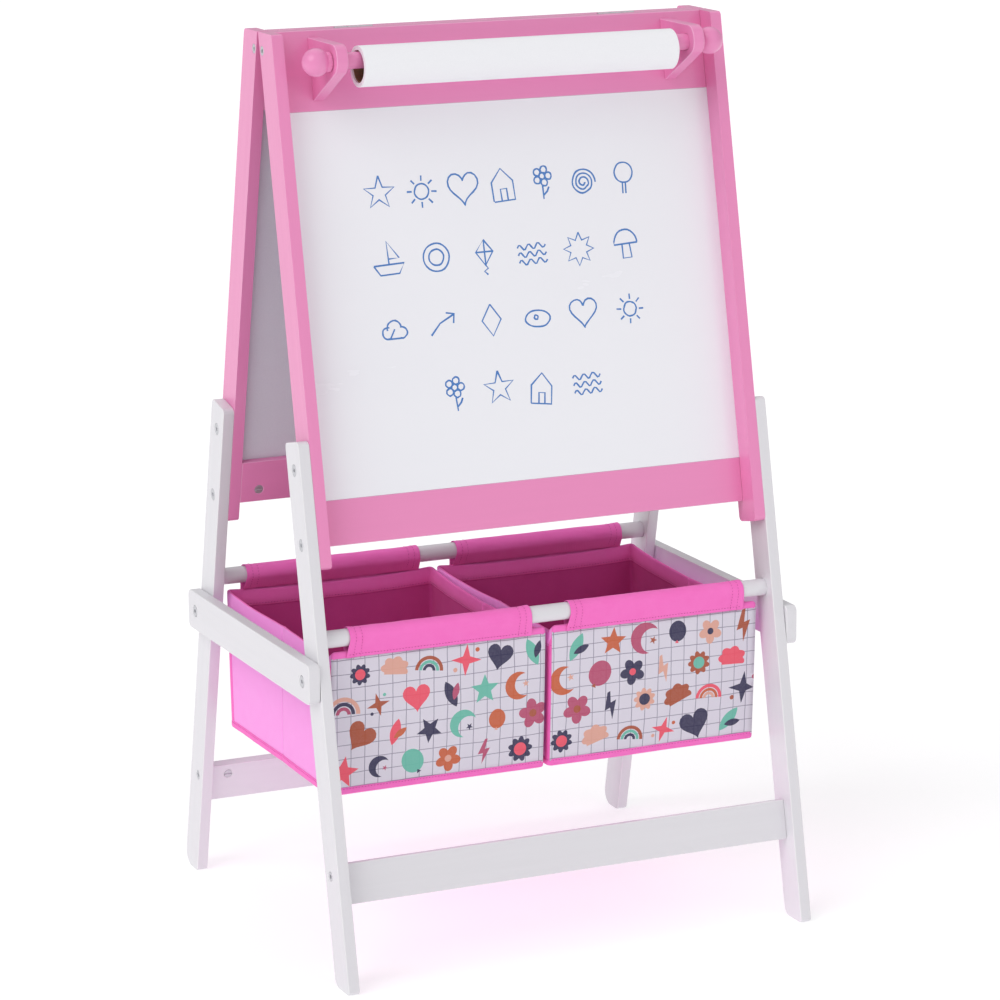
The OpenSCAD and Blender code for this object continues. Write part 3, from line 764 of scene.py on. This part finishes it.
def sew_shell(bag):
    """Walls and floor in one shell, its inner face and cut edges a darker pink of painted shade, with a
    small round at the floor's edge.
    """
    stations = bag.stations(cloth_step)
    count = len(stations)
    points = []
    floor_shares = (0.12, 0.3, 0.5, 0.7, 0.88, 0.97)
    for share in floor_shares:
        sag = floor_sag * math.cos(math.pi / 2 * share)
        for spot, *_ in stations:
            points.append(Vector((bag.middle + spot.x * share, spot.y * share * bag.drawn_in(0.0),
                                  bin_floor - sag + 0.2 * mm)))
    rise_count = 26
    for row in range(rise_count + 1):
        height = bag.height * row / rise_count
        pull = -1.0 * mm if row == 0 else 0.0
        points += [bag.on_wall(station, height, pull) for station in stations]
    rows = len(floor_shares) + rise_count + 1
    faces = grid_faces(count, rows, True)
    faces.append(tuple(range(count - 1, -1, -1)))
    shell = new_object(f"{bag.name}_shell", points, faces, [side_cloth, inside_painted_shade_cloth])
    cloth = thicken(shell, shell_thickness)
    # The inner face and the cut edges take the darker pink of painted shade.
    cloth.material_offset = 1
    cloth.material_offset_rim = 1
    return shell


def spread(first, last, count):
    """This many values at even steps, from the first to the last."""
    return [first + (last - first) * i / (count - 1) for i in range(count)]


hem_height = 18.0 * mm
front_hem_height = 7.5 * mm
binding_height = 7.0 * mm
tape_thickness = 0.4 * mm
tape_on_ends = 1.4 * mm
tape_on_sides = 6.0 * mm


def sew_rim_hem(bag):
    """The top edge turned over a tape: a band outside, over the rim, and down inside.

    In front it stands above the printed panel, and on the side walls it is of the side cloth.
    """
    stations = bag.stations(cloth_step)
    outside = [(bag.height - hem_height, 0.15), (bag.height - hem_height + 0.8 * mm, 1.0),
               (bag.height - 9 * mm, 1.2), (bag.height - 1.5 * mm, 1.1), (bag.height + 0.6 * mm, 0.4)]
    over = [(bag.height + 1.1 * mm, -0.8), (bag.height + 0.6 * mm, -2.0)]
    inside = [(bag.height - 1.5 * mm, -2.8), (bag.height - 9 * mm, -3.0),
              (bag.height - hem_height + 0.8 * mm, -2.7), (bag.height - hem_height, -1.9)]
    profile = outside + over + inside
    points = []
    for height, lift in profile:
        from_hem_edge = (height - bag.height + hem_height) / (hem_height + 1.1 * mm)
        above_panel = bag.height - 0.4 * mm + front_hem_height * from_hem_edge
        for station in stations:
            in_front = max(0.0, -station[1].y)
            points.append(bag.on_wall(station, height + (above_panel - height) * in_front, lift * mm))
    hem = new_object(f"{bag.name}_rim_hem", points, grid_faces(len(stations), len(profile), True),
                     [hem_cloth, side_cloth])
    for face in hem.data.polygons:
        station = stations[face.vertices[0] % len(stations)]
        outer_row = face.vertices[0] < len(stations) * (len(outside) - 1)
        face.material_index = int(outer_row and abs(station[1].x) > 0.9)
    return hem


def sew_floor_binding(bag):
    """A folded tape round the bottom edge, which joins the walls to the floor."""
    stations = bag.stations(cloth_step)
    profile = [(binding_height + 0.4 * mm, 0.1), (binding_height, 1.0), (binding_height * 0.5, 1.4),
               (0.8 * mm, 1.3), (-0.6 * mm, 0.5), (-1.1 * mm, -0.9), (-1.1 * mm, -3.0), (-0.6 * mm, -7.0)]
    points = [bag.on_wall(s, height, lift * mm) for height, lift in profile for s in stations]
    return new_object(f"{bag.name}_floor_binding", points,
                      grid_faces(len(stations), len(profile), True), [hem_cloth])


def under_tape(bag, station, near_wall, far_wall):
    """Whether the tape over the corner from the near wall to the far wall covers this station."""
    _, _, wall, share = station
    on_end = wall in ("front", "rear")
    reach = tape_on_ends / bag.width if on_end else tape_on_sides / bag.depth
    return (wall == near_wall and share > 1 - reach) or (wall == far_wall and share < reach)


def sew_corner_bindings(bag):
    """Upright tapes over the four corners: narrow on the front and rear, wider on the side walls."""
    stations = bag.stations(1.5 * mm)
    half = len(stations) // 2
    rows = 22
    tapes = []
    for near_wall, far_wall in (("front", "right"), ("right", "rear"),
                                ("rear", "left"), ("left", "front")):
        ordered = stations[half:] + stations[:half] if far_wall == "front" else stations
        strip = [station for station in ordered if under_tape(bag, station, near_wall, far_wall)]
        columns = len(strip)
        points = []
        for row in range(rows):
            height = bag.height * row / (rows - 1)
            for column, station in enumerate(strip):
                edge = abs(2 * column / (columns - 1) - 1)
                points.append(bag.on_wall(station, height, 0.9 * mm * (1 - edge ** 6) + 0.1 * mm))
        tapes.append((points, grid_faces(columns, rows, False)))
    made = new_object(f"{bag.name}_corner_bindings", *joined(tapes), [hem_cloth])
    thicken(made, tape_thickness)
    return made


stitch_pitch = 3.6 * mm
stitch_length = 2.5 * mm
stitch_width = 0.55 * mm


def run_stitches(line):
    """Raised stitches along a line of (place, outward) pairs, as long beads of six corners."""
    beads = []
    faces = []
    travelled = 0.0
    due = 0.0
    for (first, out), (second, _) in zip(line, line[1:]):
        span = (second - first).length
        while span > 0 and due <= travelled + span:
            spot = first.lerp(second, (due - travelled) / span)
            along = (second - first).normalized()
            beside = along.cross(out).normalized()
            start = len(beads)
            beads += [spot - along * stitch_length / 2, spot + beside * stitch_width / 2,
                      spot + out * stitch_width * 0.7, spot - beside * stitch_width / 2,
                      spot - out * stitch_width * 0.3, spot + along * stitch_length / 2]
            for i in range(4):
                corner = start + 1 + i
                next_corner = start + 1 + (i + 1) % 4
                faces.append((start, next_corner, corner))
                faces.append((start + 5, corner, next_corner))
            due += stitch_pitch
        travelled += span
    return beads, faces


def stitch(name, lines):
    """One object with the stitches of all these lines."""
    return new_object(name, *joined([run_stitches(line) for line in lines]), [seam_thread])


def sew_seams(bag):
    """Lines of stitching through the rim hem, inside and out, and through the floor binding."""
    stations = bag.stations(cloth_step)
    all_round = stations + stations[:1]
    sides_and_rear = [station for station in all_round if station[2] != "front"]
    hem_seam = bag.height - hem_height + 2.6 * mm
    binding_seam = binding_height - 1.4 * mm
    lines = []
    for route, height, lift, facing in (
        (sides_and_rear, hem_seam, 1.05, 1),
        (all_round, hem_seam, -2.85, -1),
        (all_round, binding_seam, 1.15, 1),
    ):
        lines.append([(bag.on_wall(s, height, lift * mm), s[1] * facing) for s in route])
    return stitch(f"{bag.name}_seams", lines)


# ---- Printed fronts ----
# The front wall of each bin carries a second cloth, printed with plain shapes on a faint
# hand-drawn grid. Cloth and print are one mesh: the attribute "print" holds each shape's ink
# as its colour, and its alpha is zero where the cloth is bare.

inks = {
    "navy": linear(44, 42, 78),
    "terracotta": linear(203, 98, 52),
    "coral": linear(240, 84, 104),
    "teal": linear(106, 190, 170),
    "rose": linear(186, 78, 112),
    "peach": linear(226, 168, 150),
    "brown": linear(172, 82, 46),
}
ink_order = ("coral", "navy", "teal", "terracotta", "rose", "navy", "peach", "brown")


def lobed(lobes, depth, size=0.5, squeeze=1.0, floor_at=-1.0, count=60):
    """A round shape with this many lobes: a flower head, or a cloud when cut off flat below."""
    found = []
    for i in range(count):
        angle = 2 * math.pi * i / count
        reach = size * (1 - depth * (1 - abs(math.sin(lobes * angle / 2))))
        found.append((reach * math.cos(angle), max(floor_at, reach * squeeze * math.sin(angle))))
    return found


def arch(outer, inner, count=18):
    """Half a ring standing on its ends."""
    rise = [math.pi * i / count for i in range(count + 1)]
    return ([(outer * math.cos(a), outer * math.sin(a) - 0.22) for a in rise]
            + [(inner * math.cos(a), inner * math.sin(a) - 0.22) for a in reversed(rise)])


def dot(radius):
    return lobed(2, 0.0, radius)


def crescent(count=20):
    """A moon: most of a circle, closed by an arc of a smaller circle whose middle is bite."""
    bite = 0.24
    sweep = [math.radians(52 + 256 * i / count) for i in range(count + 1)]
    outside = [(0.46 * math.cos(a), 0.46 * math.sin(a)) for a in sweep]
    inner_radius = math.dist(outside[0], (bite, 0.0))
    first = math.atan2(outside[-1][1], outside[-1][0] - bite) % (2 * math.pi)
    last = math.atan2(outside[0][1], outside[0][0] - bite)
    back = [first + (last - first) * i / count for i in range(1, count)]
    return outside + [(bite + inner_radius * math.cos(a), inner_radius * math.sin(a)) for a in back]


def leaf(length=0.5, width=0.2, count=12):
    """A leaf that stands on its point, this long and wide on each side of the middle."""
    rise = [i / count for i in range(count + 1)]
    right = [(width * math.sin(math.pi * t) ** 0.8, length * (2 * t - 1)) for t in rise]
    return right + [(-x, up) for x, up in reversed(right[1:-1])]


def moved(outline, across, up, scale=1.0, turn=0.0):
    """The outline turned and scaled about (0, 0), and then shifted."""
    return [(across + scale * (x * math.cos(turn) - y * math.sin(turn)),
             up + scale * (x * math.sin(turn) + y * math.cos(turn))) for x, y in outline]


flash = [(0.1, 0.5), (-0.26, -0.06), (-0.04, -0.06), (-0.14, -0.5), (0.28, 0.1), (0.06, 0.1),
         (0.22, 0.5)]
balloon = [(x, y + 0.1) for x, y in lobed(2, 0.0, 0.36, 1.12)]
balloon_tail = [(0.0, -0.24), (-0.08, -0.36), (0.08, -0.36)]
# Every outline runs counter-clockwise, and its first point is not repeated at its end.
motifs = [
    [star_line(5, 0.22)[:-1]],
    [lobed(5, 0.4), dot(0.13)],
    [lobed(7, 0.22, 0.5, 0.8, -0.2)],
    [heart_line()[:0:-1]],
    [crescent(), moved(star_line(5, 0.2)[:-1], 0.26, 0.02, 0.26)],
    [flash],
    [arch(0.5, 0.38), arch(0.35, 0.25), arch(0.22, 0.12)],
    [leaf(), moved(leaf(0.3, 0.12), 0.2, 0.0, 1.0, -0.7)],
    [balloon, balloon_tail],
    [lobed(9, 0.3, 0.4), dot(0.2)],
    [star_line(4, 0.16)[:-1], moved(dot(0.07), 0.34, 0.32), moved(dot(0.07), -0.34, -0.3)],
]
motif_rows = 4
motif_columns = 6
motif_size = 33.0 * mm
right_bin_starts_at = 5
grid_pitch = 16.0 * mm
grid_line = 0.9 * mm
panel_low = binding_height - 1.5 * mm
panel_inset = 0.8 * mm
panel_lift = 0.5 * mm


def printed_ground(finish, where, cloth, shade):
    """Bare cloth with wavering grid lines in the darker tone, and the inks over both."""
    wander = finish.noise(where, 24.0, 2.0)
    wear = finish.noise(where, 420.0, 3.0, 0.7)
    lines = None
    for axis in ("X", "Z"):
        along = finish.node("SeparateXYZ", {}, {"Vector": where}, output=axis)
        cell = (along + wander * 0.003) * (1 / grid_pitch)
        from_middle = (cell.maths("FRACT") - 0.5).maths("ABSOLUTE")
        line = from_middle < grid_line / grid_pitch / 2
        lines = line if lines is None else lines.maths("MAXIMUM", line)
    ground = finish.mix(lines * 0.85, cloth, shade)
    ink = finish.node("Attribute", {"attribute_name": "print"}, output="Color")
    covered = finish.node("Attribute", {"attribute_name": "print"}, output="Alpha")
    printed = finish.mix(covered * (1.0 - wear * 0.12), ground, ink)
    return printed, finish.mix(0.08, printed, shade)


print_cloth = woven("bin_print_cloth", linear(222, 217, 229), linear(140, 134, 154),
                    ground=printed_ground)


def lay_print(bag):
    """Outlines on the panel as (points, ink), in metres from its lower left corner."""
    room = (bag.width - 6.0 * mm, bag.height - panel_low - 4.0 * mm)
    pitch = (room[0] / motif_columns, room[1] / motif_rows)
    laid = []
    for row in range(motif_rows):
        for column in range(motif_columns):
            number = row * motif_columns + column + (right_bin_starts_at if bag.side > 0 else 0)
            seed = Vector((row * 2.3 + 0.5, column * 3.1 + 0.5, bag.side * 1.7))
            stagger = 0.25 if row % 2 else -0.25
            across = 3.0 * mm + pitch[0] * (column + 0.5 + stagger * 0.8) + noise.noise(seed) * 5 * mm
            up = panel_low + 2.0 * mm + pitch[1] * (row + 0.5) + noise.noise(seed * 1.9) * 4 * mm
            size = motif_size * (1 + 0.3 * noise.noise(seed * 2.7))
            turn = noise.noise(seed * 3.3) * 1.1
            for layer, outline in enumerate(motifs[(number * 4 + row) % len(motifs)]):
                ink = inks[ink_order[(number + 3 * layer + row) % len(ink_order)]]
                laid.append((moved(outline, across, up, size, turn), ink))
    return laid


def sew_panel(bag):
    """The front cloth, cut along the outline of every printed shape, which gets its ink."""
    right = bag.width - panel_inset
    across_count = round((bag.width - 2 * panel_inset) / cloth_step)
    up_count = round((bag.height - panel_low) / cloth_step)
    across = spread(panel_inset, right, across_count + 1)
    heights = spread(panel_low, bag.height, up_count + 1)
    spots = [Vector((x / mm, up / mm)) for up in heights for x in across]
    last = len(spots) - 1
    outlines = [[0, across_count, last, last - across_count]]
    laid = lay_print(bag)
    for outline, _ in laid:
        outlines.append(list(range(len(spots), len(spots) + len(outline))))
        for x, up in outline:
            x = min(max(x, panel_inset), right)
            up = min(max(up, panel_low), bag.height)
            spots.append(Vector((x / mm, up / mm)))
    placed, _, faces, _, _, covered_by = delaunay_2d_cdt(spots, [], outlines, 1, 0.001)
    points = [bag.front_point(spot.x * mm, spot.y * mm, panel_lift) for spot in placed]
    panel = new_object(f"{bag.name}_printed_panel", points, faces, [print_cloth])
    colours = panel.data.color_attributes.new("print", "FLOAT_COLOR", "CORNER")
    for face, outline_numbers in zip(panel.data.polygons, covered_by):
        top = max(outline_numbers, default=0)
        colour = laid[top - 1][1] if top > 0 else (0.0, 0.0, 0.0, 0.0)
        for corner in face.loop_indices:
            colours.data[corner].color = colour
    thicken(panel, tape_thickness)
    return panel


# ---- Sleeves ----
# Each bin has two sleeves, one round each rod: a strip of the hem cloth goes over the rod and is
# sewn to the wall below it. Its ends are turned in, double stitched and a little flared.

sleeve_length = 214.0 * mm
sleeve_end_hem = 8.0 * mm
sleeve_lowest = -rim_below_rod - 0.6 * mm
sleeve_thickness = 0.9 * mm
thread_lift = 0.25 * mm


def sleeve_profile():
    """The strip's cut from its outer lower edge over the rod to its inner lower edge, as (out, up)."""
    radius = rod_radius + 1.25 * mm
    steps_round_rod = 18
    first_touch, last_touch = -22, 202
    round_rod = []
    for degrees in spread(first_touch, last_touch, steps_round_rod + 1):
        angle = math.radians(degrees)
        round_rod.append(Vector((radius * math.cos(angle), radius * math.sin(angle))))
    outer_foot = Vector((4.6 * mm, sleeve_lowest))
    inner_foot = Vector((-0.4 * mm, sleeve_lowest + 4.0 * mm))
    up_to_rod = [outer_foot.lerp(round_rod[0], share) for share in (0.0, 0.25, 0.5, 0.75)]
    down_from_rod = [round_rod[-1].lerp(inner_foot, share) for share in (0.35, 0.7, 1.0)]
    return up_to_rod + round_rod + down_from_rod


def sew_sleeve(bag, end, way, body):
    """The sleeve at the front or rear end of the bin, with way the direction outwards along Y."""
    profile = sleeve_profile()
    lengthways = spread(-1.0, 1.0, 61)
    points = []
    outwards = []
    for share in lengthways:
        from_end = (1 - abs(share)) * sleeve_length / 2
        end_fold = max(0.0, min(1.0, (sleeve_end_hem - from_end) / (1.0 * mm)))
        mouth = max(0.0, 1 - from_end / (5.0 * mm)) ** 2
        for index, (out, up) in enumerate(profile):
            down = max(0.0, -up / -sleeve_lowest)
            flare = 3.2 * mm * down * max(0.0, abs(share) - 0.9) * 10
            x = bag.middle + share * sleeve_length / 2 + math.copysign(flare, share)
            away_from_rod = Vector((out, up)).normalized()
            crumple = noise.noise(Vector((x * 30, index * 0.28 + way * 5, bag.side * 2.0)))
            crease = noise.noise(Vector((x * 95, index * 0.6 - way * 3, bag.side * 4.0)))
            lift = (crumple * 0.45 + abs(crease) * 0.35) * mm + end_fold * 0.35 * mm + mouth * 0.5 * mm
            out += away_from_rod.x * lift
            up += away_from_rod.y * lift
            points.append(Vector((x, way * (rod_reach + out), rod_middle.z + up)))
            outwards.append(Vector((0.0, way * away_from_rod.x, away_from_rod.y)))
    columns = len(profile)
    faces = grid_faces(columns, len(lengthways), False)
    if way < 0:
        faces = [tuple(reversed(face)) for face in faces]
    sleeve = new_object(f"{bag.name}_{end}_sleeve", points, faces, [hem_cloth])
    thicken(sleeve, sleeve_thickness)
    rounder = sleeve.modifiers.new("soft_cloth", "SUBSURF")
    rounder.levels = 1
    rounder.render_levels = 1
    routes = [range(row * columns, (row + 1) * columns - 1)
              for row in (2, 4, len(lengthways) - 5, len(lengthways) - 3)]
    routes.append(range(columns + 1, columns * (len(lengthways) - 1) + 1, columns))
    lines = [[(points[i] + outwards[i] * thread_lift, outwards[i]) for i in route]
             for route in routes]
    stitching = stitch(f"{bag.name}_{end}_sleeve_stitching", lines)
    for piece in (sleeve, stitching):
        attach(piece, body)


for bag in (Bag("bin_left", -1), Bag("bin_right", 1)):
    shell = sew_shell(bag)
    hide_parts(bag.name)
    goes_flat(shell)
    for sew in (sew_panel, sew_rim_hem, sew_floor_binding, sew_corner_bindings, sew_seams):
        goes_flat(sew(bag))
    sew_sleeve(bag, "front", -1, "front_frame")
    sew_sleeve(bag, "rear", 1, "rear_frame")
